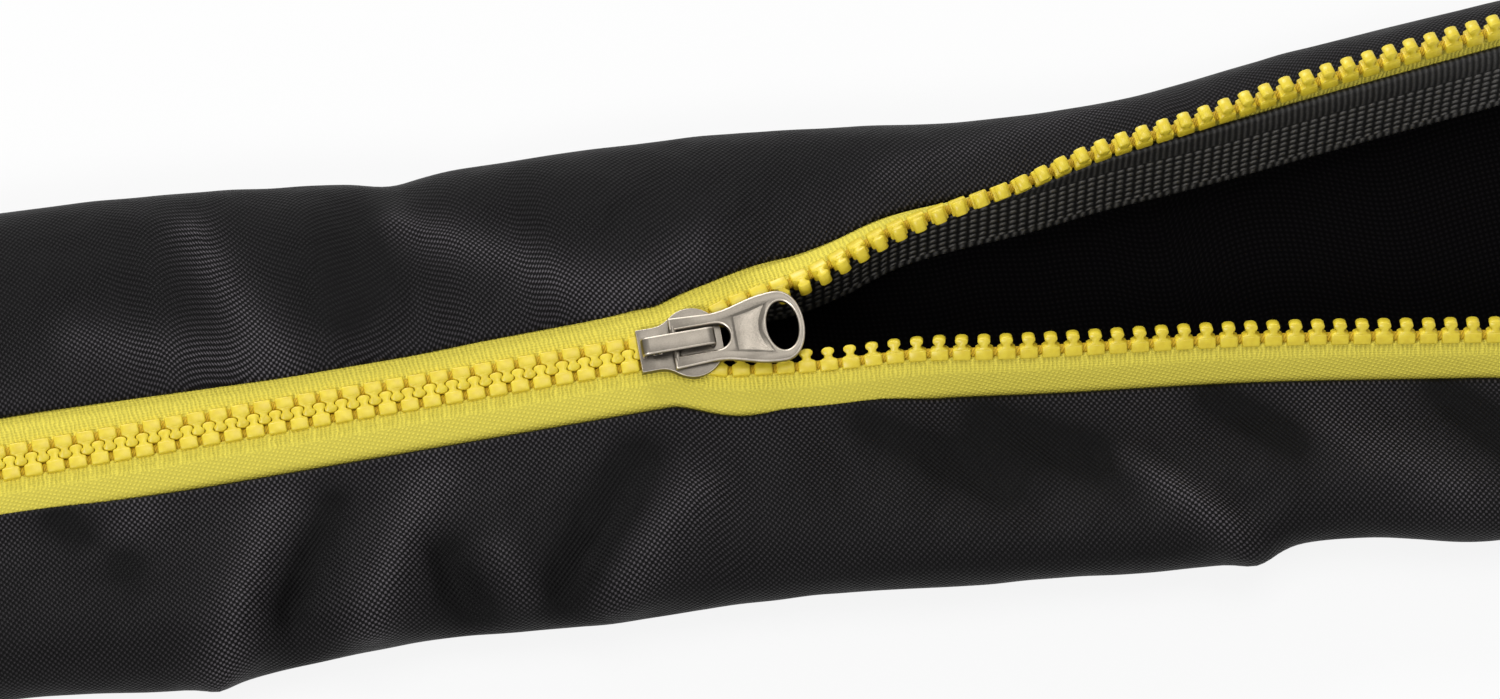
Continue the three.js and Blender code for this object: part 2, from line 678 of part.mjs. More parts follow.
const MATERIALS = {
  cloth: () => material(0x141416, 0.45, 0),
  webbing: () => material(0x18181a, 0.8, 0),
  tape: () => material(0xf0dc32, 0.75, 0),
  teeth: () => material(0xf2df3a, 0.35, 0),
  metal: () => material(0xa49c92, 0.32, 1),
};

function addPiece(parent, name, geometry, finish) {
  geometry.computeVertexNormals();
  const mesh = new THREE.Mesh(geometry, MATERIALS[finish]());
  mesh.name = name;
  parent.add(mesh);
  return mesh;
}

const group = new THREE.Group();
addPiece(group, 'fabric_sleeve', sleeveGeometry(), 'cloth');
addPiece(group, 'webbing_strip', webbingGeometry(), 'webbing');
addPiece(group, 'back_zip_tape', tapeGeometry(BACK), 'tape');
addPiece(group, 'front_zip_tape', tapeGeometry(FRONT), 'tape');
addPiece(group, 'back_teeth', rowGeometry(BACK), 'teeth');
addPiece(group, 'front_teeth', rowGeometry(FRONT), 'teeth');
addPiece(group, 'bottom_stop', bottomStopGeometry(), 'teeth');
addPiece(group, 'back_top_stop', topStopGeometry(BACK), 'teeth');
addPiece(group, 'front_top_stop', topStopGeometry(FRONT), 'teeth');

const slider = new THREE.Group();
slider.position.set(SLIDER_X, CHAIN_Y, CHAIN_HEIGHT);
slider.rotation.x = TILT;
group.add(slider);
addPiece(slider, 'slider_body', sliderBodyGeometry(), 'metal');
addPiece(slider, 'slider_cap', capGeometry(), 'metal');
addPiece(slider, 'lock_spring', springGeometry(), 'metal');

const pull = addPiece(slider, 'pull_tab', pullGeometry(), 'metal');
pull.position.set(HINGE_X, 0, PIN_HEIGHT);

export default group;
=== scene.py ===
"""Dresses the zipped cord cover: woven sleeve, zip tapes and teeth, webbing, slider and pull.

Everything is in the frame's metres. The cloth and the tapes are lofted from the sizes in
millimetres that the solids are made from, so each piece lies where its solid does.
"""

import math

import bmesh
import bpy
from bpy.props import FloatProperty, FloatVectorProperty, PointerProperty
from mathutils import Matrix, Vector, noise


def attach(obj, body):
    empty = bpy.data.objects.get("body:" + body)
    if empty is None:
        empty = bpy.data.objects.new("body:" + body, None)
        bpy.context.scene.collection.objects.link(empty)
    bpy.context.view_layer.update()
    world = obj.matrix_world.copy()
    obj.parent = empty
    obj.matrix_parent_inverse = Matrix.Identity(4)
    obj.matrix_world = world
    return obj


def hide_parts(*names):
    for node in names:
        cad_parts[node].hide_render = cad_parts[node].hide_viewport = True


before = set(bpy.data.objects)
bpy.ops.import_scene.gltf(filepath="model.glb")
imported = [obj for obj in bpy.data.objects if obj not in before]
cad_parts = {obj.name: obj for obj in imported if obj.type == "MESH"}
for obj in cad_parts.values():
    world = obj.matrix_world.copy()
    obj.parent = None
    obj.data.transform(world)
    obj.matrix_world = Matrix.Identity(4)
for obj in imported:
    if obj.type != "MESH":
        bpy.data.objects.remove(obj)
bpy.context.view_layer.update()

bl_info = {
    "name": "Zipped cord cover",
    "version": (1, 0, 0),
    "blender": (4, 5, 0),
    "location": "View3D > Sidebar > Cord cover",
    "description": "Builds the woven sleeve, its zip, its slider and the studio around them",
    "category": "Object",
}

MM = 0.001

# Sleeve, in mm
SLEEVE_LENGTH = 300
FABRIC_THICKNESS = 0.8
SEAM_ALLOWANCE = 4
SEAM_GAP = 0.2
FRONT_BULGE_HEIGHT = 10
BACK_BULGE_HEIGHT = 12
FRONT_CORNER = 15
BACK_CORNER = 19
CREST_ANGLE = 14
FRONT_REACH = [(-160, -33), (-126, -35), (-101, -38.2), (-66, -37), (-33, -39.8), (0, -40.8),
               (34, -44.6), (75, -48), (86, -46.8), (117, -52.4), (160, -53.8)]
BACK_REACH = [(-160, 50.6), (-118, 48.9), (-84, 46.2), (-51, 42.9), (-17, 41.9), (16, 40),
              (50, 35.4), (66, 34.6), (101, 38.4), (135, 41.2), (160, 42)]

# Zip, in mm
CHAIN_Y = -1
CHAIN_HEIGHT = 26
BAND_TILT = 12
TOOTH_PITCH = 3.7
CHAIN_END_MARGIN = 9
ROOT_REACH = 2.7
CORD_REACH = 2.15
EDGING_REACH = 1.85
EDGING_RADIUS = 0.82
TAPE_THICKNESS = 0.6
BACK_TAPE_WIDTH = 7.6
FRONT_TAPE_WIDTH = 8.85
TAPE_END_MARGIN = 3
WEBBING_WIDTH = 20
WEBBING_THICKNESS = 0.9
WEBBING_DROP = 1.3
# How far up the tape from the seam the webbing's top edge lies, where the lip stands up
WEBBING_LIFT = [(20, -WEBBING_DROP), (32, 2.6), (45, 4.4), (60, 4.4), (75, 3.7), (92, 3), (110, 2.6),
                (150, 2.4)]
# How far the cloth's edge rolls over the tape at x, on the back and on the front side
BACK_ROLL = [(-150, 0.2), (-118, 1), (-92, 1.9), (-75, 2.4), (-58, 2.4), (-42, 1.9), (-26, 1.6),
             (-14, 0.9), (-3, 1.9), (8, 1.2), (17, 1.4), (28, 0.6), (40, 0)]
FRONT_ROLL = [(-150, 1.3), (-127, 1.2), (-108, 0.4), (-90, 0), (-4, 0), (4, 0.8), (16, 1), (28, 0)]
ROLL_EASE = 0.8
STOP_LENGTH = 3.2
STOP_THICKNESS = 3
PART_GAP = 0.2

# Slider, in mm
SLIDER_X = -12
SLIDER_LENGTH = 14

# How each lip leaves the chain's line: run in mm from the place where the rows part, the way out
# sideways, the rise, and the turn of the tape in degrees
BACK_LIP = [(0, 0, 0, 0), (1.2, 0.42, 0, 0), (10, 3.4, 0, 0), (24, 6.5, 0.5, -29), (42, 12, 3.7, -54),
            (60, 15, 6.4, -78), (78, 19.6, 7, -98), (96, 22.5, 7, -106), (113, 25.8, 6.8, -116),
            (150, 30.6, 6.6, -122), (175, 33, 6, -122)]
FRONT_LIP = [(0, 0, 0, 0), (1.2, 0.42, 0, 0), (10, 3.4, 0, 0), (24, 4.6, -0.9, 8), (40, 6, 0, 23),
             (55, 8.7, 0.8, 33), (95, 13.7, 0.3, 33), (132, 19.5, -0.7, 35), (145, 21.7, -0.7, 30),
             (175, 25, -1, 30)]
RUN, OUT, RISE, TURN = range(4)
IN_SLIDER = BACK_LIP[2][RUN]

# Folds of the cloth: from and to as (x, share of the way round), swell and half-width in mm
LARGE_FOLDS = [
    ((-84, 0.03), (-96, 0.16), 2.2, 6),
    ((-72, 0.04), (-82, 0.14), -1.8, 5.5),
    ((-58, 0.05), (-70, 0.14), 1.8, 5.5),
    ((-56, 0.1), (-54, 0.16), -1.6, 5.5),
    ((-22, 0.05), (-36, 0.15), -1.9, 6),
    ((-14, 0.08), (-30, 0.16), 1.4, 6),
    ((18, 0.03), (42, 0.12), -1.2, 5.5),
    ((40, 0.03), (74, 0.15), -1.8, 5.5),
    ((60, 0.09), (76, 0.2), 2, 4.5),
    ((-86, 0.86), (-79, 0.97), -2.2, 8),
    ((-108, 0.92), (-82, 0.97), -1.4, 7),
    ((-48, 0.88), (-22, 0.97), -2.2, 7),
    ((-54, 0.77), (-50, 0.84), -1.3, 5.5),
]
SMALL_FOLDS = [
    ((-82, 0.03), (-97, 0.18), 1.5, 4),
    ((-73, 0.03), (-84, 0.12), -0.9, 4),
    ((-56, 0.03), (-70, 0.15), 1.4, 4.2),
    ((-118, 0.01), (-109, 0.055), -1.2, 4),
    ((-104, 0.015), (-112, 0.045), 0.9, 3.5),
    ((-13, 0.08), (-31, 0.18), 1.2, 4.5),
    ((-22, 0.04), (-37, 0.16), -1.2, 5),
    ((-57, 0.1), (-53, 0.17), -1.1, 3.5),
    ((-47, 0.11), (-44, 0.16), 0.7, 3),
    ((16, 0.02), (36, 0.09), -1.0, 4.5),
    ((58, 0.08), (75, 0.19), 1.5, 3),
    ((36, 0.02), (58, 0.085), -1.2, 4.5),
    ((74, 0.012), (86, 0.065), -1.3, 4),
    ((112, 0.01), (122, 0.07), -1.3, 4.5),
    ((92, 0.05), (112, 0.13), 0.9, 6),
    ((-88, 0.84), (-79, 0.985), 1.5, 3.6),
    ((-110, 0.94), (-80, 0.985), 1.0, 4),
    ((-54, 0.86), (-21, 0.985), 1.4, 4),
    ((-6, 0.965), (-21, 0.985), 0.9, 3.5),
    ((-60, 0.84), (-66, 0.94), -0.9, 5),
    ((28, 0.955), (66, 0.93), 0.6, 3),
]

HALF_LENGTH = SLEEVE_LENGTH / 2
TILT = math.radians(BAND_TILT)
PART_X = SLIDER_X - SLIDER_LENGTH * 0.18
TAPE_START = TAPE_END_MARGIN - HALF_LENGTH
CHAIN_START = CHAIN_END_MARGIN - HALF_LENGTH
CHAIN_END = HALF_LENGTH - CHAIN_END_MARGIN
TEETH_PER_ROW = math.floor((CHAIN_END - CHAIN_START) / TOOTH_PITCH) - 1

# Shares and steps of the visible mesh, in mm where they are lengths
AROUND = (34, 18, 36, 26, 42)
BEZIER_REACH = 0.42
SLEEVE_STEP = 1.3
TAPE_STEP = 1.2
TURN_RADIUS = 0.9
TURN_STEPS = 4
ALLOWANCE_SHARES = (1, 0.7, 0.4)
FOLD_EASE = 16
# How much painted glint lightens the weave's dots, as painted highlight: on plain cloth, on folds,
# and on a strip beside the zip. Towards the lower rim it gives way to painted shade; that rim is
# given as a share of the way round.
FRONT_GLINT = 0.2
BACK_GLINT = 0.06
FOLD_GLINT = 0.55
STRIP_GLINT = 0.3
GLINT_STRIP_WIDTH = 9
SHADED_RIM = 0.21
RIM_SHADE_FADE = 0.05
CRUMPLE_LENGTH = 34
CRUMPLE_WIDTH = 22
TAPE_REACHES = (1.6, 2.2, 2.9)
TAPE_CROWN = 0.25
CROWN_STEPS = 6
CORD_SIDES = 10
LOOP_PITCH = 1.5
LOOP_DEPTH = 0.35

# A tooth in plan, right half, from the tip of its head to its neck
TOOTH_HEAD = [(0.3, -0.97), (0.68, -0.87), (0.98, -0.64), (1.11, -0.34), (0.96, -0.02), (0.7, 0.24),
              (0.6, 0.5), (0.74, 0.8), (1.3, 0.98)]
HEAD_THICKNESS = 2.42
ROOT_WIDTH = 3
ROOT_START = 1
ROOT_END = 2.95
ROOT_THICKNESS = 2.55
BEVEL_ANGLE = math.radians(30)
TOOTH_CREASE = math.radians(50)
METAL_CREASE = math.radians(42)

# More of the slider, in mm
TOOTH_THICKNESS = 2.5
TOOTH_CLEARANCE = 0.3
PLATE_THICKNESS = 1
CAP_WIDTH = 3
# How much lighter than the plain metal the rounded edges are, as painted highlight, and the pull's sunk
# panels, as painted sheen
EDGE_HIGHLIGHT_SHARE = 3.2
PANEL_SHEEN_SHARE = 2.1
HINGE_X = -0.95
PIN_RADIUS = 0.7
PULL_THICKNESS = 1.3
PULL_LENGTH = 22.3
HEEL_REACH = 0.55
RING_WIDTH = 12
EYE_LENGTH = 5.3
EYE_WIDTH = 8.3
PANEL_DEPTH = 0.25
PANEL_SLOPE = 0.3
PIN_HEIGHT = TOOTH_THICKNESS / 2 + TOOTH_CLEARANCE + PLATE_THICKNESS + PART_GAP + PIN_RADIUS

# The slider's pieces: their names, the nodes that they are made from, and how far edges are rounded
SLIDER_PARTS = [("slider_plates", "slider_body", 0.22), ("slider_bridge", "slider_cap", 0.3)]

# The picture: what the lens looks at and how wide it sees, in mm
LOOK_AT = (0, 0, 18.5)
VIEW_WIDTH = 250
SHADOW_SHARE = 0.15
LAMPS = [
    ("back", (-0.25, 1.3, 0.75), (0.8, 0.35), 13),
    ("front", (-0.75, -0.75, 1.1), (0.35, 0.35), 10),
    ("top", (0.2, 0.1, 1.6), (0.9, 0.7), 9),
]


class Side:
    """One side of the zip: its lip, how wide its tape is, and how far out the tape is ribbed."""

    def __init__(self, name, way, lip, tape_width, rib_end):
        self.name = name
        self.way = way
        self.lip = lip
        self.tape_width = tape_width
        self.rib_end = rib_end


BACK = Side("back", 1, BACK_LIP, BACK_TAPE_WIDTH, 6)
FRONT = Side("front", -1, FRONT_LIP, FRONT_TAPE_WIDTH, 3.2)


def smooth(points, x):
    """A smooth curve through (x, value) points that never swings past them."""
    last = len(points) - 1
    if x <= points[0][0]:
        return points[0][1]
    if x >= points[last][0]:
        return points[last][1]

    def slope(i):
        return (points[i + 1][1] - points[i][1]) / (points[i + 1][0] - points[i][0])

    def tangent(i):
        if i == 0:
            return slope(0)
        if i == last:
            return slope(last - 1)
        before = slope(i - 1)
        after = slope(i)
        return 0 if before * after <= 0 else 2 * before * after / (before + after)

    i = max(k for k in range(last) if points[k][0] <= x)
    span = points[i + 1][0] - points[i][0]
    t = (x - points[i][0]) / span
    start = (2 * t ** 3 - 3 * t ** 2 + 1) * points[i][1] + (t ** 3 - 2 * t ** 2 + t) * span * tangent(i)
    end = (3 * t ** 2 - 2 * t ** 3) * points[i + 1][1] + (t ** 3 - t ** 2) * span * tangent(i + 1)
    return start + end


def lip_value(side, column, x):
    return smooth([(row[RUN], row[column]) for row in side.lip], x - PART_X)


def row_line(side, x):
    """The line that a row of teeth is set out on, and the direction from the teeth to the seam."""
    out = side.way * lip_value(side, OUT, x)
    rise = lip_value(side, RISE, x)
    turn = math.radians(lip_value(side, TURN, x))
    angle = TILT + turn if side.way > 0 else math.pi + TILT + turn
    run = min(x - PART_X, IN_SLIDER)
    lift = side.way * smooth([(row[RUN], row[OUT]) for row in side.lip], run) * math.sin(TILT)
    sideways = out * (math.cos(TILT) if x - PART_X <= IN_SLIDER else 1)
    point = Vector((CHAIN_Y + sideways, CHAIN_HEIGHT + rise + lift))
    return point, Vector((math.cos(angle), math.sin(angle)))


def seam_point(side, x):
    point, outward = row_line(side, x)
    return point + outward * side.tape_width


def hanging_way(side, x):
    """The way that what is turned in at a seam hangs."""
    lean = max(0, TILT + math.radians(lip_value(side, TURN, x))) if side.way > 0 else 0
    return Vector((math.sin(lean), -math.cos(lean)))


def bezier(a, b, c, d, steps):
    points = []
    for i in range(steps + 1):
        t = i / steps
        s = 1 - t
        points.append(a * s ** 3 + b * (3 * s * s * t) + c * (3 * s * t * t) + d * t ** 3)
    return points


def run_along(line):
    """How far along a line each of its points lies."""
    run = [0]
    for before, point in zip(line, line[1:]):
        run.append(run[-1] + (point - before).length)
    return run


def fold_swell(folds, x, share, girth, sharpness):
    """How far the folds move the cloth out at a place. sharpness 2 is round, and 1 is a crease."""
    swell = 0
    for start, end, height, width in folds:
        ax = x - start[0]
        ay = (share - start[1]) * girth
        bx = end[0] - start[0]
        by = (end[1] - start[1]) * girth
        t = min(1, max(0, (ax * bx + ay * by) / (bx * bx + by * by)))
        distance = math.hypot(ax - bx * t, ay - by * t) / width
        swell += height * math.exp(-distance ** sharpness)
    return swell


def sleeve_line(x, around):
    """The cloth's centre line at x from the front seam, under the sleeve, to the back seam.

    around is how many steps each of the five spans takes."""
    half = FABRIC_THICKNESS / 2
    step = TAPE_THICKNESS / 2 + SEAM_GAP + half
    low = TAPE_THICKNESS / 2
    front_roll = smooth(FRONT_ROLL, x)
    back_roll = smooth(BACK_ROLL, x)
    over = TAPE_THICKNESS + half
    front = seam_point(FRONT, x) + Vector((front_roll - step, over * min(1, front_roll / ROLL_EASE) - low))
    back = seam_point(BACK, x) + Vector((step - back_roll, over * min(1, back_roll / ROLL_EASE) - low))
    crest = math.radians(CREST_ANGLE)
    front_reach = smooth(FRONT_REACH, x)
    back_reach = smooth(BACK_REACH, x)
    anchors = [
        (front, Vector((-math.cos(2 * crest), -math.sin(2 * crest)))),
        (Vector((front_reach, FRONT_BULGE_HEIGHT)), Vector((0, -1))),
        (Vector((front_reach + FRONT_CORNER, half)), Vector((1, 0))),
        (Vector((back_reach - BACK_CORNER, half)), Vector((1, 0))),
        (Vector((back_reach, BACK_BULGE_HEIGHT)), Vector((0, 1))),
        (back, Vector((-math.cos(crest), -math.sin(crest)))),
    ]
    line = []
    for (at, way), (after, way_after), steps in zip(anchors, anchors[1:], around):
        span = (after - at).length * BEZIER_REACH
        curve = bezier(at, at + way * span, after - way_after * span, after, steps)
        line.extend(curve if not line else curve[1:])
    return line


def turned_in(line, front_way, back_way):
    """Adds the rounded turn at both seams and the allowance that hangs from it."""
    def turn(end, after, way):
        out = (after - end).normalized()
        corner = [end + way * SEAM_ALLOWANCE * share for share in ALLOWANCE_SHARES]
        for i in range(TURN_STEPS):
            t = i / TURN_STEPS
            corner.append(end + way * TURN_RADIUS * (1 - t) ** 2 + out * TURN_RADIUS * t ** 2)
        return corner

    return turn(line[0], line[1], front_way) + line[1:-1] + turn(line[-1], line[-2], back_way)[::-1]


def creased(line, x, settings):
    """Moves the cloth along its outward side by its folds, but leaves the seams and the underside."""
    lengths = run_along(line)
    girth = lengths[-1]
    floor = FABRIC_THICKNESS / 2
    result = []
    for i, point in enumerate(line):
        seamward = min(lengths[i], girth - lengths[i]) - SEAM_ALLOWANCE
        weight = min(1, max(0, seamward / FOLD_EASE)) * min(1, max(0, (point.y - floor) / 4))
        if weight == 0:
            result.append(point)
            continue
        share = lengths[i] / girth
        along = (line[i + 1] - line[i - 1]).normalized()
        outward = Vector((along.y, -along.x))
        swell = fold_swell(LARGE_FOLDS, x, share, girth, 2)
        swell += settings.creases * fold_swell(SMALL_FOLDS, x, share, girth, 1.25)
        place = Vector((x / CRUMPLE_LENGTH, lengths[i] / CRUMPLE_WIDTH, 3.7))
        swell += settings.crumple * noise.fractal(place, 0.9, 2.1, 3)
        moved = point + outward * weight * swell
        moved.y = max(moved.y, floor)
        result.append(moved)
    return result


def row_frame(side, x):
    """Where a tooth at x stands and how it is turned: it turns about the corded edge."""
    point, square = row_line(side, x)
    after = row_line(side, x + 0.5)[0]
    before = row_line(side, x - 0.5)[0]
    along = Vector((1, after.x - before.x, after.y - before.y)).normalized()
    square = Vector((0, square.x, square.y))
    outward = (square - along * square.dot(along)).normalized()
    up = along.cross(outward)
    place = Vector((x, point.x, point.y)) + square * CORD_REACH - outward * CORD_REACH
    matrix = Matrix((along, outward, up)).transposed().to_4x4()
    matrix.translation = place
    return matrix


def tooth_places(side):
    """Where the teeth of a row stand: one pitch apart along the row's own line."""
    places = []
    x = CHAIN_START + TOOTH_PITCH * (1 if side.way > 0 else 0.5)
    while len(places) < TEETH_PER_ROW and x < CHAIN_END - TOOTH_PITCH:
        places.append(x)
        here = row_line(side, x)[0]
        there = row_line(side, x + TOOTH_PITCH)[0]
        x += TOOTH_PITCH ** 2 / math.hypot(TOOTH_PITCH, (there - here).length)
    return places


def steps_between(start, end, step):
    count = max(1, round((end - start) / step))
    return [start + (end - start) * i / count for i in range(count + 1)]


class Shade:
    """A value in a material's node tree. Arithmetic on it adds the nodes that work it out."""

    def __init__(self, tree, socket):
        self.tree = tree
        self.socket = socket

    def node(self, kind, inputs=(), output=0, **settings):
        """Adds a node of any kind and gives its output. inputs maps a socket to its value."""
        made = self.tree.nodes.new(kind)
        for name, value in settings.items():
            setattr(made, name, value)
        for name, value in dict(inputs).items():
            if isinstance(value, Shade):
                self.tree.links.new(value.socket, made.inputs[name])
            else:
                made.inputs[name].default_value = value
        return Shade(self.tree, made.outputs[output])

    def math(self, operation, *others):
        values = enumerate((self, *others))
        return self.node("ShaderNodeMath", values, operation=operation)

    def __add__(self, other):
        return self.math("ADD", other)

    def __radd__(self, other):
        return self + other

    def __sub__(self, other):
        return self.math("SUBTRACT", other)

    def __rsub__(self, other):
        return self * -1 + other

    def __mul__(self, other):
        return self.math("MULTIPLY", other)

    def __rmul__(self, other):
        return self * other

    def __truediv__(self, other):
        return self.math("DIVIDE", other)

    def __pow__(self, other):
        return self.math("POWER", other)

    def ramp(self, low, high):
        """0 below low, 1 above high, and smooth between them."""
        sockets = {"Value": self, "From Min": low, "From Max": high}
        return self.node("ShaderNodeMapRange", sockets, interpolation_type="SMOOTHSTEP")

    def wave(self, length):
        """A sine of the given wavelength, from 0 to 1."""
        return (self * (2 * math.pi / length)).math("SINE") * 0.5 + 0.5

    def between(self, dark, light):
        """The colour this far from dark to light."""
        sockets = {"Factor": self, 6: (*dark, 1), 7: (*light, 1)}
        return self.node("ShaderNodeMix", sockets, output=2, data_type="RGBA")


class Surface:
    """A material being built: its places, its grain, and its principled shader."""

    def __init__(self, name, colour, roughness, metallic=0.0, specular=0.5):
        self.material = bpy.data.materials.new(name)
        self.material.use_nodes = True
        self.material.diffuse_color = (*colour, 1)
        self.tree = self.material.node_tree
        self.shader = self.tree.nodes["Principled BSDF"]
        self.shader.inputs["Base Color"].default_value = (*colour, 1)
        self.shader.inputs["Roughness"].default_value = roughness
        self.shader.inputs["Metallic"].default_value = metallic
        self.shader.inputs["Specular IOR Level"].default_value = specular
        self.start = Shade(self.tree, None)

    def laid(self):
        """Places on a sheet in mm: along it, and across it."""
        place = self.start.node("ShaderNodeUVMap", uv_map="mm")
        return [place.node("ShaderNodeSeparateXYZ", {0: place}, output=i) for i in (0, 1)]

    def solid(self):
        """Places in the object's own space, in mm."""
        place = self.start.node("ShaderNodeTexCoord", output=3)
        return place.node("ShaderNodeVectorMath", {0: place, "Scale": 1000}, operation="SCALE")

    def grain(self, place, scale, detail=2.0, roughness=0.5):
        """Noise from 0 to 1, with scale in features a mm."""
        sockets = {"Vector": place, "Scale": scale, "Detail": detail, "Roughness": roughness}
        return self.start.node("ShaderNodeTexNoise", sockets)

    def bump(self, height, depth, under=None):
        """Bumps the surface: height runs from 0 to 1, and depth is in mm."""
        sockets = {"Height": height, "Distance": depth * MM, "Strength": 1.0}
        if under:
            sockets["Normal"] = under
        return self.start.node("ShaderNodeBump", sockets)

    def set(self, **sockets):
        names = {"colour": "Base Color", "roughness": "Roughness", "normal": "Normal", "coat": "Coat Weight"}
        for name, value in sockets.items():
            self.tree.links.new(value.socket, self.shader.inputs[names[name]])
        return self.material


def cloth_surface(settings):
    """Coated black cloth: a plain weave seen as a lattice of dots, over slight crumpling. The dots'
    lightness is painted highlight, led by each point's painted glint.
    """
    surface = Surface("black_cloth", settings.cloth_colour, 0.4, specular=0.08)
    along, across = surface.laid()
    solid = surface.solid()
    drift = surface.grain(solid, 0.5, 1.0) * 0.12
    pitch = settings.weave_pitch
    along_wave = (along + drift).wave(pitch)
    across_wave = (across + drift).wave(pitch)
    weave = along_wave * across_wave + (1 - along_wave) * (1 - across_wave)
    broad = surface.grain(solid, 0.04, 3.0)
    fine = surface.grain(solid, 1.6, 2.0)
    # The painted glint lightens the dots up to fifteen times the cloth's colour, as painted highlight; where
    # it is low the cloth stays darker than its own colour.
    painted_glint = surface.start.node("ShaderNodeAttribute", output=2, attribute_name="painted_glint")
    dots = (weave * 0.9 + fine * 0.15).ramp(0.45, 0.95) * (painted_glint * 1.1 + 0.03)
    tint = dots.between(tuple(c * 0.25 for c in settings.cloth_colour),
                        tuple(c * 15 for c in settings.cloth_colour))
    roughness = 0.3 + broad * 0.1 + fine * 0.06 + (1 - weave) * 0.3
    crumple = surface.bump(surface.grain(solid, 0.07, 2.0, 0.5), 2.4)
    normal = surface.bump(weave + fine * 0.3, 0.2, crumple)
    return surface.set(colour=tint, roughness=roughness, normal=normal)


def lining_surface(settings):
    """The cloth's inner side: the same weave under a dull coating, and darker than the outer side as painted
    shade for the shaded inside of the sleeve.
    """
    # Seven tenths of the cloth's colour: painted shade for the inside of the sleeve, on top of the coating's
    # dull black.
    colour = tuple(c * 0.7 for c in settings.cloth_colour)
    surface = Surface("black_lining", colour, 0.85, specular=0.0)
    along, across = surface.laid()
    weave = along.wave(settings.weave_pitch) * across.wave(settings.weave_pitch)
    tint = weave.between(tuple(c * 0.6 for c in colour), tuple(c * 1.5 for c in colour))
    return surface.set(colour=tint, normal=surface.bump(weave, 0.08))


def tape_surface(name, settings, rib_end):
    """Yellow zip tape: ribs across it, a denser band at its edge, and a soft nap."""
    surface = Surface(name, settings.tape_colour, 0.7, specular=0.25)
    along, across = surface.laid()
    solid = surface.solid()
    slant = along + across * 0.12 + surface.grain(solid, 0.7, 3.0) * 0.9
    diagonal = along + across * 0.7 + surface.grain(solid, 0.9) * 0.3
    twill = diagonal.wave(0.8) * (across - along * 0.3).wave(0.66)
    edge = across.ramp(rib_end, rib_end + 1)
    ribs = slant.wave(settings.rib_pitch) * (1 - edge) + twill * edge
    yarns = (across + surface.grain(solid, 1.1) * 0.3).wave(0.42)
    fine = surface.grain(solid, 3.0)
    cloth = ribs * 0.6 + yarns * (1 - edge) * 0.25 + fine * 0.3
    dark = tuple(c * 0.72 for c in settings.tape_colour)
    tint = cloth.ramp(0.1, 0.85).between(dark, settings.tape_colour)
    return surface.set(colour=tint, roughness=0.6 + fine * 0.2, normal=surface.bump(cloth, 0.18))


def plastic_surface(settings):
    """Moulded yellow plastic with a faint mottle."""
    surface = Surface("yellow_plastic", settings.teeth_colour, 0.34, specular=0.45)
    solid = surface.solid()
    mottle = surface.grain(solid, 0.9, 3.0)
    dark = (settings.teeth_colour[0] * 0.9, settings.teeth_colour[1] * 0.86, settings.teeth_colour[2] * 0.7)
    tint = mottle.ramp(0.3, 0.7).between(dark, settings.teeth_colour)
    return surface.set(colour=tint, roughness=0.28 + mottle * 0.16, normal=surface.bump(mottle, 0.03))


def edging_surface(settings):
    """The tape's corded edge, coloured a darker, deeper yellow than the teeth, with a twist."""
    colour = (settings.teeth_colour[0] * 0.8, settings.teeth_colour[1] * 0.66, settings.teeth_colour[2] * 0.4)
    surface = Surface("yellow_edging", colour, 0.6, specular=0.3)
    along, across = surface.laid()
    twist = (along + across * 0.6).wave(0.5)
    tint = twist.between(tuple(c * 0.7 for c in colour), colour)
    return surface.set(colour=tint, normal=surface.bump(twist, 0.1))


def webbing_surface(settings):
    """Black webbing: cords across the top band, and a grid of dots below it."""
    surface = Surface("black_webbing", settings.webbing_colour, 0.62, specular=0.2)
    along, across = surface.laid()
    solid = surface.solid()
    fine = surface.grain(solid, 2.5)
    cords = along.wave(1.1) * 0.3
    dots = ((along + fine * 0.3).wave(1.7) * (across + fine * 0.3).wave(1.9)) ** 0.9
    lower = across.ramp(4.6, 5.4)
    edge = across.ramp(WEBBING_WIDTH - 2.4, WEBBING_WIDTH - 1.8)
    woven = cords * (1 - lower) + dots * 1.2 * lower * (1 - edge)
    height = woven + along.wave(1.5) * edge * 0.6 + fine * 0.25
    dark = tuple(c * 0.5 for c in settings.webbing_colour)
    light = tuple(c * 13 for c in settings.webbing_colour)
    tint = height.ramp(0.1, 1.0).between(dark, light)
    return surface.set(colour=tint, roughness=0.5 + fine * 0.25, normal=surface.bump(height, 0.35))


def metal_surface(name, settings, grain_depth, lightness=1.0):
    """Satin nickel: fine grain, faint cloudiness, and for the sunk panel the texture of a casting. A
    lightness above 1 makes a lighter copy of it, which is painted light.
    """
    colour = tuple(c * lightness for c in settings.metal_colour)
    surface = Surface(name, colour, 0.3, metallic=1.0)
    solid = surface.solid()
    cloud = surface.grain(solid, 0.35, 4.0)
    fine = surface.grain(solid, 4.0, 3.0, 0.7)
    dark = tuple(c * 0.74 for c in colour)
    tint = (cloud * 0.5 + fine * 0.5).ramp(0.35, 0.65).between(dark, colour)
    return surface.set(colour=tint, roughness=0.24 + fine * 0.14 + cloud * 0.06,
                       normal=surface.bump(fine, grain_depth))


def piece_of(name, bm, surfaces, slot, *nodes, body="sleeve"):
    """Makes the finished object, which stands for the named CAD nodes and rides on their body."""
    mesh = bpy.data.meshes.new(name)
    bmesh.ops.recalc_face_normals(bm, faces=bm.faces)
    bm.to_mesh(mesh)
    bm.free()
    for surface in surfaces:
        mesh.materials.append(surface)
    mesh.shade_smooth()
    piece = bpy.data.objects.new(name, mesh)
    bpy.context.scene.collection.objects.link(piece)
    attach(piece, body)
    if nodes:
        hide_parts(*nodes)
    return piece


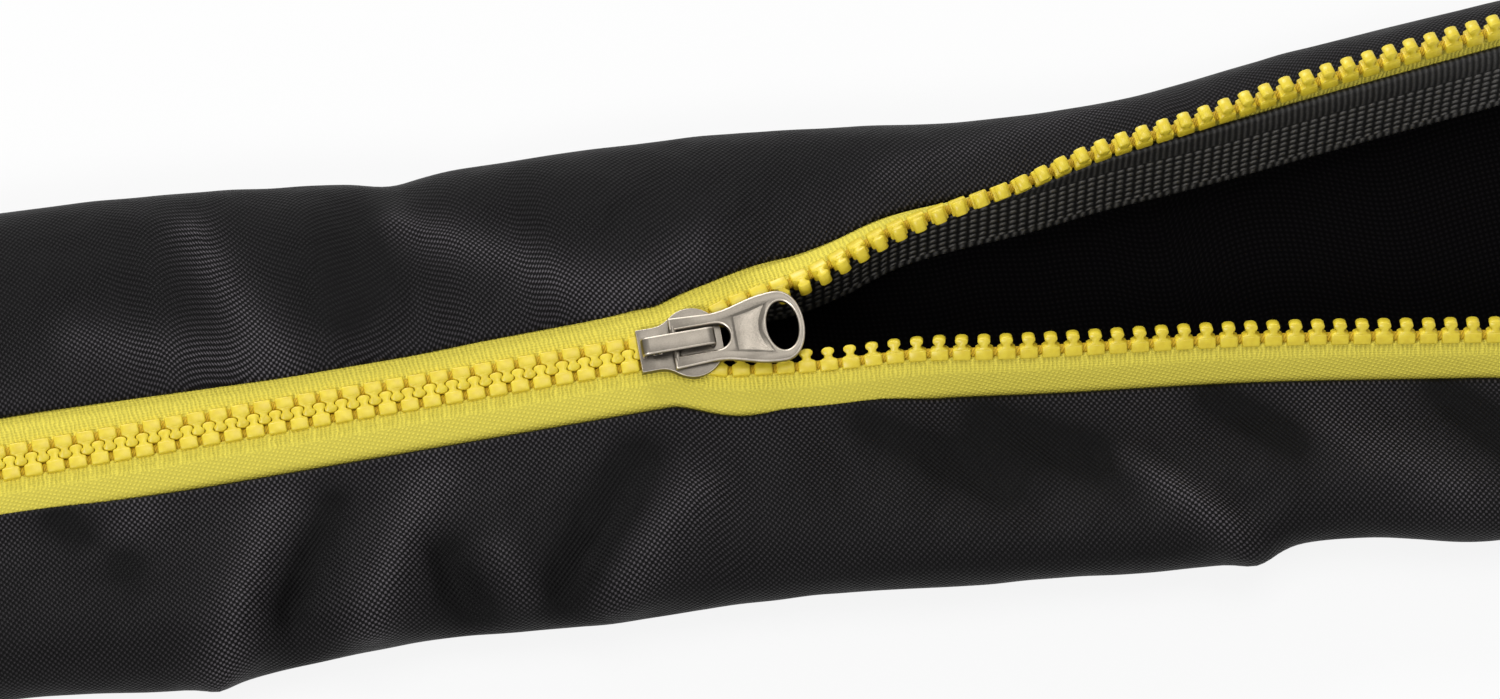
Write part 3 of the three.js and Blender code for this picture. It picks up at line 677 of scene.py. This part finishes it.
def surface_of(rows, places):
    """A grid laid over rows of points in mm, with its places on the flat cloth as UVs in mm."""
    bm = bmesh.new()
    layer = bm.loops.layers.uv.new("mm")
    wide = len(rows) - 1
    deep = len(rows[0]) - 1
    bmesh.ops.create_grid(bm, x_segments=wide, y_segments=deep, size=1)
    cell = {}
    for vert in bm.verts:
        i = round((vert.co.x + 1) / 2 * wide)
        j = round((vert.co.y + 1) / 2 * deep)
        cell[vert] = (i, j)
        vert.co = rows[i][j] * MM
    for face in bm.faces:
        for loop in face.loops:
            i, j = cell[loop.vert]
            loop[layer].uv = places[i][j]
    return bm


def laid_out(xs, line_at):
    """The rows of points, their places in mm, and the flat area, of a strip whose line is given at x."""
    rows = []
    places = []
    lengths = []
    for x in xs:
        line = line_at(x)
        run = run_along(line)
        rows.append([Vector((x, point.x, point.y)) for point in line])
        places.append([(x, at) for at in run])
        lengths.append(run[-1])
    area = sum((xs[i + 1] - xs[i]) * (lengths[i] + lengths[i + 1]) / 2 for i in range(len(xs) - 1))
    return rows, places, max(lengths), area


def cloth_piece(name, xs, line_at, thickness, surface, slot, node, lining=None):
    """A thin sheet of cloth. The size it was cut to is worked out but not used."""
    rows, places, width, area = laid_out(xs, line_at)
    surfaces = [lining, surface] if lining else [surface]
    piece = piece_of(name, surface_of(rows, places), surfaces, slot, node)
    solid = piece.modifiers.new("thickness", "SOLIDIFY")
    # A lined strip's own side faces in, and the side that the modifier adds faces out.
    solid.material_offset = len(surfaces) - 1
    solid.material_offset_rim = len(surfaces) - 1
    solid.thickness = thickness * MM
    solid.offset = 0
    length = xs[-1] - xs[0]
    width * MM
    length * MM
    area * MM * MM
    return piece


def under_way(side, x, roll):
    """The way the cloth's allowance lies: hanging, or back under the cloth where it rolls over the tape."""
    share = min(1, roll / ROLL_EASE)
    return hanging_way(side, x).lerp(Vector((side.way, -1)), share).normalized()


def sleeve_points(x, settings):
    line = creased(sleeve_line(x, AROUND), x, settings)
    front = under_way(FRONT, x, smooth(FRONT_ROLL, x))
    return turned_in(line, front, under_way(BACK, x, smooth(BACK_ROLL, x)))


def painted_glint_at(x):
    """How much painted glint lightens the weave's dots along the line at x, as painted highlight: most on
    the folds and beside the zip, and cut down at the front's lower rim as painted shade.
    """
    line = sleeve_line(x, AROUND)
    lengths = run_along(line)
    girth = lengths[-1]
    glint = []
    for length in lengths:
        swell = fold_swell(SMALL_FOLDS, x, length / girth, girth, 1.6)
        strip = math.exp(-((min(length, girth - length) / GLINT_STRIP_WIDTH) ** 2))
        is_front = length < girth / 2
        plain = FRONT_GLINT if is_front else BACK_GLINT
        # From the front's lower rim round the underside the painted glint drops to a tenth, which paints
        # shade there.
        rim = min(1, max(0.1, (SHADED_RIM - length / girth) / RIM_SHADE_FADE)) if is_front else 1
        glint.append(min(1, max(0, plain + FOLD_GLINT * swell + STRIP_GLINT * strip)) * rim)
    ends = TURN_STEPS + len(ALLOWANCE_SHARES)
    return glint[:1] * ends + glint[1:-1] + glint[-1:] * ends


def build_sleeve(settings):
    xs = steps_between(-HALF_LENGTH, HALF_LENGTH, SLEEVE_STEP)
    piece = cloth_piece("sleeve_cloth", xs, lambda x: sleeve_points(x, settings), FABRIC_THICKNESS,
                        cloth_surface(settings), "black_cloth", "fabric_sleeve",
                        lining_surface(settings))
    # Each point's painted glint, which lightens the weave's dots as painted highlight.
    painted_glint = piece.data.attributes.new("painted_glint", "FLOAT", "POINT")
    painted_glint.data.foreach_set("value", [value for glint in zip(*map(painted_glint_at, xs)) for value in glint])


def tape_points(side, x):
    """A tape's centre line from the corded edge out to the seam, and down into the allowance."""
    point, outward = row_line(side, x)
    up = Vector((-outward.y, outward.x)) * side.way
    way = hanging_way(side, x)
    seam = seam_point(side, x)
    line = [point + outward * reach for reach in TAPE_REACHES]
    start = TAPE_REACHES[-1]
    edge = side.tape_width - TURN_RADIUS
    for i in range(1, CROWN_STEPS + 1):
        t = i / CROWN_STEPS
        line.append(point + outward * (start + (edge - start) * t) + up * TAPE_CROWN * math.sin(math.pi * t))
    for i in range(1, TURN_STEPS + 1):
        t = i / TURN_STEPS
        line.append(seam - outward * TURN_RADIUS * (1 - t) ** 2 + way * TURN_RADIUS * t ** 2)
    line += [seam + way * SEAM_ALLOWANCE * share for share in (0.5, 0.75, 1)]
    return line


def build_tapes(settings):
    edging = edging_surface(settings)
    xs = steps_between(TAPE_START, -TAPE_START, TAPE_STEP)
    for side in (BACK, FRONT):
        tape = tape_surface(f"{side.name}_tape", settings, side.rib_end)
        cloth_piece(f"{side.name}_tape", xs, lambda x, side=side: tape_points(side, x), TAPE_THICKNESS,
                    tape, "yellow_tape", f"{side.name}_zip_tape")

        def round_edge(x, side=side):
            point, outward = row_line(side, x)
            across = Vector((-outward.y, outward.x))
            centre = point + outward * EDGING_REACH
            turns = [2 * math.pi * i / CORD_SIDES for i in range(CORD_SIDES + 1)]
            return [centre + (outward * math.cos(turn) + across * math.sin(turn)) * EDGING_RADIUS
                    for turn in turns]

        rows, places, _, _ = laid_out(xs, round_edge)
        bm = surface_of(rows, places)
        bmesh.ops.remove_doubles(bm, verts=bm.verts, dist=0.001 * MM)
        piece_of(f"{side.name}_tape_edging", bm, [edging], "yellow_tape")


def outline_solid(bm, outline, thickness, bevel, segments):
    """A closed body from an outline in mm, its edges rounded, half of it above the outline's plane."""
    verts = [bm.verts.new((x * MM, y * MM, -thickness / 2 * MM)) for x, y in outline]
    face = bm.faces.new(verts)
    made = bmesh.ops.extrude_face_region(bm, geom=[face])["geom"]
    top = [item for item in made if isinstance(item, bmesh.types.BMVert)]
    bmesh.ops.translate(bm, verts=top, vec=(0, 0, thickness * MM))
    faces = {f for vert in verts + top for f in vert.link_faces}
    bmesh.ops.recalc_face_normals(bm, faces=list(faces))
    edges = {edge for f in faces for edge in f.edges if edge.calc_face_angle(0) > BEVEL_ANGLE}
    bmesh.ops.bevel(bm, geom=list(edges), offset=bevel * MM, segments=segments, profile=0.5,
                    affect="EDGES", clamp_overlap=True, material=-1)


def tooth_mesh(settings):
    """One tooth: a rounded head on a neck, and a thicker root block over the corded edge."""
    bm = bmesh.new()
    head = [*TOOTH_HEAD, (TOOTH_HEAD[-1][0], 1.4)]
    head += [(-x, y) for x, y in reversed(head)]
    outline_solid(bm, head, HEAD_THICKNESS, settings.tooth_bevel * 0.5, 1)
    wide = ROOT_WIDTH / 2
    root = [(-wide, ROOT_START), (wide, ROOT_START), (wide, ROOT_END), (-wide, ROOT_END)]
    outline_solid(bm, root, ROOT_THICKNESS, settings.tooth_bevel, 2)
    mesh = bpy.data.meshes.new("tooth")
    bm.to_mesh(mesh)
    bm.free()
    return mesh


def build_teeth(settings):
    surface = plastic_surface(settings)
    tooth = tooth_mesh(settings)
    for side in (BACK, FRONT):
        bm = bmesh.new()
        for x in tooth_places(side):
            done = len(bm.verts)
            bm.from_mesh(tooth)
            bm.verts.ensure_lookup_table()
            matrix = row_frame(side, x)
            matrix.translation *= MM
            bmesh.ops.transform(bm, matrix=matrix, verts=bm.verts[done:])
        piece = piece_of(f"{side.name}_tooth_row", bm, [surface], "yellow_plastic", f"{side.name}_teeth")
        piece.data.set_sharp_from_angle(angle=TOOTH_CREASE)
    bpy.data.meshes.remove(tooth)
    build_stops(surface, settings)


def build_stops(surface, settings):
    """The moulded stops at both ends of the rows."""
    def stop(name, side, x, low):
        bm = bmesh.new()
        wide = STOP_LENGTH / 2
        outline = [(-wide, low), (wide, low), (wide, ROOT_REACH), (-wide, ROOT_REACH)]
        outline_solid(bm, outline, STOP_THICKNESS, settings.tooth_bevel * 2, 3)
        matrix = row_frame(side, x)
        matrix.translation *= MM
        bmesh.ops.transform(bm, matrix=matrix, verts=bm.verts)
        piece_of(f"{name}_moulding", bm, [surface], "yellow_plastic", name)

    stop("bottom_stop", BACK, CHAIN_START - STOP_LENGTH / 2 - PART_GAP, -ROOT_REACH)
    for side in (BACK, FRONT):
        x = tooth_places(side)[-1] + TOOTH_PITCH / 2 + PART_GAP + STOP_LENGTH / 2
        stop(f"{side.name}_top_stop", side, x, -0.4)


def webbing_points(x):
    """The webbing's centre line: on the tape as far as it is lifted, then hanging from the seam."""
    way = hanging_way(BACK, x)
    outward = row_line(BACK, x)[1]
    lift = smooth(WEBBING_LIFT, x)
    inset = TAPE_THICKNESS / 2 + SEAM_GAP + WEBBING_THICKNESS / 2
    hanging = Vector((way.y, -way.x))
    facing = hanging.lerp(Vector((outward.y, -outward.x)), min(1, max(0, lift))).normalized()
    start = seam_point(BACK, x) + facing * inset
    scallop = LOOP_DEPTH * math.sin(2 * math.pi * x / LOOP_PITCH) ** 2
    steps = round(WEBBING_WIDTH)
    line = []
    for i in range(steps + 1):
        along = (WEBBING_WIDTH - scallop) * i / steps - lift
        line.append(start + (way if along > 0 else outward) * along)
    return line


def build_webbing(settings):
    xs = steps_between(TAPE_START, -TAPE_START, LOOP_PITCH / 4)
    cloth_piece("webbing", xs, webbing_points, WEBBING_THICKNESS, webbing_surface(settings),
                "black_webbing", "webbing_strip")


def slider_place(x=0.0, z=0.0):
    """The slider's own frame in the row frame, moved by x and z in mm."""
    home = Matrix.Translation(Vector((SLIDER_X, CHAIN_Y, CHAIN_HEIGHT)) * MM)
    return home @ Matrix.Rotation(TILT, 4, "X") @ Matrix.Translation(Vector((x, 0, z)) * MM)


def merged_copy(node):
    """A copy of a CAD node's mesh with its triangles joined and its flat faces made whole."""
    bm = bmesh.new()
    bm.from_mesh(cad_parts[node].data)
    bmesh.ops.remove_doubles(bm, verts=bm.verts, dist=0.002 * MM)
    bmesh.ops.dissolve_limit(bm, angle_limit=math.radians(2), verts=bm.verts, edges=bm.edges)
    return bm


def soften(bm, offset, segments):
    """Rounds the edges, and gives the rounds the second material, a lighter copy of the metal that is
    a painted highlight along the edges.
    """
    edges = [edge for edge in bm.edges if edge.calc_face_angle(0) > BEVEL_ANGLE]
    made = bmesh.ops.bevel(bm, geom=edges, offset=offset * MM, segments=segments, profile=0.5,
                           affect="EDGES", clamp_overlap=True, material=-1)
    for face in made["faces"]:
        face.material_index = 1


def build_slider(settings):
    metal = metal_surface("nickel", settings, 0.012)
    # The rounds' metal: lighter than the plain metal, as a painted highlight along the edges.
    painted_highlight = metal_surface("nickel_painted_highlight", settings, 0.004, EDGE_HIGHLIGHT_SHARE)
    for name, node, rounding in SLIDER_PARTS:
        bm = merged_copy(node)
        soften(bm, rounding, 3)
        piece = piece_of(name, bm, [metal, painted_highlight], "zinc", node, body="slider")
        piece.data.set_sharp_from_angle(angle=METAL_CREASE)
    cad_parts["lock_spring"].data.materials[0] = metal
    build_pull(settings, metal, painted_highlight)


def curve2(points, steps):
    """Points of a plane Bezier curve, without its first."""
    return [tuple(point) for point in bezier(*(Vector(p) for p in points), steps)[1:]]


def build_pull(settings, metal, painted_highlight):
    """The pull in halves about its middle line: rim, sunk panels, and the pin."""
    heel = -HEEL_REACH
    toe = heel + PULL_LENGTH
    ring = RING_WIDTH / 2
    ring_x = toe - 4.1
    slot = CAP_WIDTH / 2 + 0.7
    slot_end = 7.05
    eye_x = toe - 1 - EYE_LENGTH / 2
    eye_left = eye_x - EYE_LENGTH / 2
    panel_x = 9.95
    rim = [(slot_end + slot * math.sin(a), slot * math.cos(a))
           for a in [math.pi / 2 * (1 - i / 8) for i in range(9)]]
    rim += [(heel, slot), (heel, 4.4), (5.45, 4.1)]
    rim += curve2([(5.45, 4.1), (9.95, 3.8), (ring_x - 5.5, ring), (ring_x, ring)], 12)
    rim += curve2([(ring_x, ring), (ring_x + 2.4, ring), (toe, 3.4), (toe, 0)], 10)
    rim += [(eye_x + EYE_LENGTH / 2 * math.cos(a), EYE_WIDTH / 2 * math.sin(a))
            for a in [math.pi * i / 20 for i in range(21)]]
    side = [(panel_x, 0), (panel_x, 3.1)]
    side += curve2([(panel_x, 3.1), (11.8, 3.25), (13.4, 3.7), (eye_left + 0.9, 4.5)], 5)
    side += curve2([(eye_left + 0.9, 4.5), (eye_left, 3.4), (eye_left - 1.0, 2), (eye_left - 1.1, 0)], 6)
    bm = bmesh.new()
    low = -PULL_THICKNESS / 2
    for way in (1, -1):
        around = [bm.verts.new((x * MM, y * way * MM, low * MM)) for x, y in rim]
        inner = [bm.verts.new((x * MM, y * way * MM, low * MM)) for x, y in side]
        bm.faces.new(around + inner[::-1])
        bm.faces.new(inner)
    bmesh.ops.remove_doubles(bm, verts=bm.verts, dist=0.001 * MM)
    made = bmesh.ops.extrude_face_region(bm, geom=bm.faces[:])["geom"]
    top = [item for item in made if isinstance(item, bmesh.types.BMVert)]
    bmesh.ops.translate(bm, verts=top, vec=(0, 0, PULL_THICKNESS * MM))
    bmesh.ops.recalc_face_normals(bm, faces=bm.faces)
    soften(bm, 0.32, 3)
    panels = [f for f in bm.faces if abs(f.normal.z) > 0.99 and f.calc_area() > 3 * MM * MM
              and all(panel_x - 0.01 <= v.co.x / MM <= eye_left + 1 for v in f.verts)]
    for way in (1, -1):
        faces = [f for f in panels if f.normal.z * way > 0]
        bmesh.ops.inset_region(bm, faces=faces, thickness=PANEL_SLOPE * MM, depth=-PANEL_DEPTH * MM,
                               use_even_offset=True)
        # The sunk panels take the third material: the grain of a casting, and lighter than the plain metal as
        # painted sheen.
        for f in faces:
            f.material_index = 2
    pin = bmesh.ops.create_cone(bm, cap_ends=True, segments=24, radius1=PIN_RADIUS * MM,
                                radius2=PIN_RADIUS * MM, depth=(CAP_WIDTH + 3) * MM)["verts"]
    bmesh.ops.rotate(bm, verts=pin, matrix=Matrix.Rotation(math.pi / 2, 3, "X"))
    bmesh.ops.transform(bm, matrix=slider_place(HINGE_X, PIN_HEIGHT), verts=bm.verts)
    # The sunk panels' metal: a casting's grain in its bump, and painted sheen in its extra lightness.
    cast_and_sheen = metal_surface("nickel_cast_and_sheen", settings, 0.08, PANEL_SHEEN_SHARE)
    pull = piece_of("pull", bm, [metal, painted_highlight, cast_and_sheen], "zinc", "pull_tab", body="pull")
    pull.data.set_sharp_from_angle(angle=METAL_CREASE)


def build_camera(settings):
    """A long lens at the photo's angle: the picture is 250 mm wide at the sleeve."""
    azimuth = math.radians(settings.azimuth)
    elevation = math.radians(settings.elevation)
    back = Vector((math.sin(azimuth) * math.cos(elevation), -math.cos(azimuth) * math.cos(elevation),
                   math.sin(elevation)))
    target = Vector(LOOK_AT) * MM
    camera = bpy.data.objects.new("camera", bpy.data.cameras.new("camera"))
    camera.location = target + back * settings.distance
    camera.rotation_euler = back.to_track_quat("Z", "Y").to_euler()
    camera.data.lens = camera.data.sensor_width * settings.distance / (VIEW_WIDTH * MM)
    camera.data.clip_end = settings.distance * 4
    bpy.context.scene.collection.objects.link(camera)
    bpy.context.scene.camera = camera


def seen_plainly(start):
    """1 for what the camera, a mirror or glass looks at, and 0 for what only lights the object."""
    camera, glossy, transmission = [start.node("ShaderNodeLightPath", output=i) for i in (0, 3, 6)]
    return (camera + glossy + transmission).math("MINIMUM", 1)


def build_stage(settings):
    """A white floor that keeps a soft shadow, a white surround, and wide soft lamps."""
    bm = bmesh.new()
    bmesh.ops.create_grid(bm, x_segments=1, y_segments=1, size=3)
    mesh = bpy.data.meshes.new("floor")
    bm.to_mesh(mesh)
    bm.free()
    floor = bpy.data.objects.new("floor", mesh)
    floor.location.z = -0.0001
    bpy.context.scene.collection.objects.link(floor)
    material = bpy.data.materials.new("floor")
    material.use_nodes = True
    mesh.materials.append(material)
    tree = material.node_tree
    tree.nodes.clear()
    start = Shade(tree, None)
    white = start.node("ShaderNodeEmission", {"Color": (1, 1, 1, 1), "Strength": 1.0})
    pale = start.node("ShaderNodeBsdfDiffuse", {"Color": (0.8, 0.8, 0.8, 1)})
    keep = seen_plainly(start) * (1 - SHADOW_SHARE)
    mixed = start.node("ShaderNodeMixShader", {0: keep, 1: pale, 2: white})
    output = tree.nodes.new("ShaderNodeOutputMaterial")
    tree.links.new(mixed.socket, output.inputs["Surface"])

    world = bpy.data.worlds.new("studio")
    world.use_nodes = True
    bpy.context.scene.world = world
    tree = world.node_tree
    start = Shade(tree, None)
    strength = settings.ambient + seen_plainly(start) * (1 - settings.ambient)
    tree.links.new(strength.socket, tree.nodes["Background"].inputs["Strength"])
    tree.nodes["Background"].inputs["Color"].default_value = (1, 1, 1, 1)

    for name, place, size, power in LAMPS:
        lamp = bpy.data.lights.new(name, "AREA")
        lamp.shape = "RECTANGLE"
        lamp.size, lamp.size_y = size
        lamp.energy = power * settings.lamps
        holder = bpy.data.objects.new(name, lamp)
        holder.location = place
        holder.rotation_euler = Vector(place).to_track_quat("Z", "Y").to_euler()
        bpy.context.scene.collection.objects.link(holder)


class CoverSettings(bpy.types.PropertyGroup):
    """Looks that can be changed without changing where anything lies."""

    creases: FloatProperty(name="Creases", description="How deep the small creases are", default=1.0,
                           min=0, max=2)
    crumple: FloatProperty(name="Crumple", description="Depth of the cloth's uneven waves, in mm",
                           default=0.5, min=0, max=1.5)
    weave_pitch: FloatProperty(name="Weave pitch", description="Repeat of the cloth's weave, in mm",
                               default=0.95, min=0.3, max=3)
    rib_pitch: FloatProperty(name="Rib pitch", description="Repeat of the tape's ribs, in mm", default=0.75,
                             min=0.3, max=3)
    tooth_bevel: FloatProperty(name="Tooth rounding", description="Rounding of a tooth's edges, in mm",
                               default=0.28, min=0.05, max=0.4)
    cloth_colour: FloatVectorProperty(name="Cloth", description="Colour of the sleeve", subtype="COLOR",
                                      default=(0.0068, 0.0062, 0.0068), min=0, max=1)
    webbing_colour: FloatVectorProperty(name="Webbing", description="Colour of the webbing", subtype="COLOR",
                                        default=(0.014, 0.0135, 0.013), min=0, max=1)
    tape_colour: FloatVectorProperty(name="Tape", description="Colour of the zip's tapes", subtype="COLOR",
                                     default=(0.82, 0.70, 0.09), min=0, max=1)
    teeth_colour: FloatVectorProperty(name="Teeth", description="Colour of the teeth", subtype="COLOR",
                                      default=(0.78, 0.62, 0.042), min=0, max=1)
    metal_colour: FloatVectorProperty(name="Metal", description="Colour of the slider", subtype="COLOR",
                                      default=(0.16, 0.142, 0.118), min=0, max=1)
    azimuth: FloatProperty(name="Azimuth", description="Turn of the camera about the upright, in degrees",
                           default=-10.73)
    elevation: FloatProperty(name="Elevation",
                             description="Height of the camera above the horizon, in degrees", default=65.0)
    distance: FloatProperty(name="Distance", description="From the camera to the sleeve", default=1.5,
                            min=0.3, max=5, unit="LENGTH")
    ambient: FloatProperty(name="Surround", description="Light from all around", default=0.25, min=0, max=2)
    lamps: FloatProperty(name="Lamps", description="Strength of the lamps", default=1.0, min=0, max=5)


def settings_of(context):
    return context.scene.cord_cover


class COVER_OT_camera(bpy.types.Operator):
    """Set up the camera at the photo's angle"""

    bl_idname = "cord_cover.camera"
    bl_label = "Camera"

    def execute(self, context):
        build_camera(settings_of(context))
        return {"FINISHED"}


class COVER_OT_stage(bpy.types.Operator):
    """Build the floor, the surround and the lamps"""

    bl_idname = "cord_cover.stage"
    bl_label = "Stage"

    def execute(self, context):
        build_stage(settings_of(context))
        return {"FINISHED"}


class COVER_OT_sleeve(bpy.types.Operator):
    """Build the woven sleeve with its folds and turned-in seams"""

    bl_idname = "cord_cover.sleeve"
    bl_label = "Sleeve"

    def execute(self, context):
        build_sleeve(settings_of(context))
        return {"FINISHED"}


class COVER_OT_tapes(bpy.types.Operator):
    """Build both zip tapes and their corded edges"""

    bl_idname = "cord_cover.tapes"
    bl_label = "Zip tapes"

    def execute(self, context):
        build_tapes(settings_of(context))
        return {"FINISHED"}


class COVER_OT_teeth(bpy.types.Operator):
    """Build the rows of teeth and their stops"""

    bl_idname = "cord_cover.teeth"
    bl_label = "Teeth and stops"

    def execute(self, context):
        build_teeth(settings_of(context))
        return {"FINISHED"}


class COVER_OT_webbing(bpy.types.Operator):
    """Build the webbing that lines the back lip"""

    bl_idname = "cord_cover.webbing"
    bl_label = "Webbing"

    def execute(self, context):
        build_webbing(settings_of(context))
        return {"FINISHED"}


class COVER_OT_slider(bpy.types.Operator):
    """Build the slider, its bridge and its pull"""

    bl_idname = "cord_cover.slider"
    bl_label = "Slider and pull"

    def execute(self, context):
        build_slider(settings_of(context))
        return {"FINISHED"}


class COVER_PT_panel(bpy.types.Panel):
    """The cover's settings, and a button for each group of pieces"""

    bl_label = "Cord cover"
    bl_space_type = "VIEW_3D"
    bl_region_type = "UI"
    bl_category = "Cord cover"

    def draw(self, context):
        settings = settings_of(context)
        for name in CoverSettings.__annotations__:
            self.layout.prop(settings, name)
        for operator in OPERATORS:
            self.layout.operator(operator.bl_idname)


OPERATORS = (COVER_OT_camera, COVER_OT_stage, COVER_OT_sleeve, COVER_OT_tapes, COVER_OT_teeth,
             COVER_OT_webbing, COVER_OT_slider)
CLASSES = (CoverSettings, *OPERATORS, COVER_PT_panel)


def register():
    for item in CLASSES:
        bpy.utils.register_class(item)
    bpy.types.Scene.cord_cover = PointerProperty(type=CoverSettings)


def unregister():
    del bpy.types.Scene.cord_cover
    for item in reversed(CLASSES):
        bpy.utils.unregister_class(item)


def main():
    register()
    bpy.context.scene.view_settings.view_transform = "Standard"
    for operator in OPERATORS:
        getattr(bpy.ops.cord_cover, operator.bl_idname.split(".")[1])()


if __name__ == "__main__":
    main()
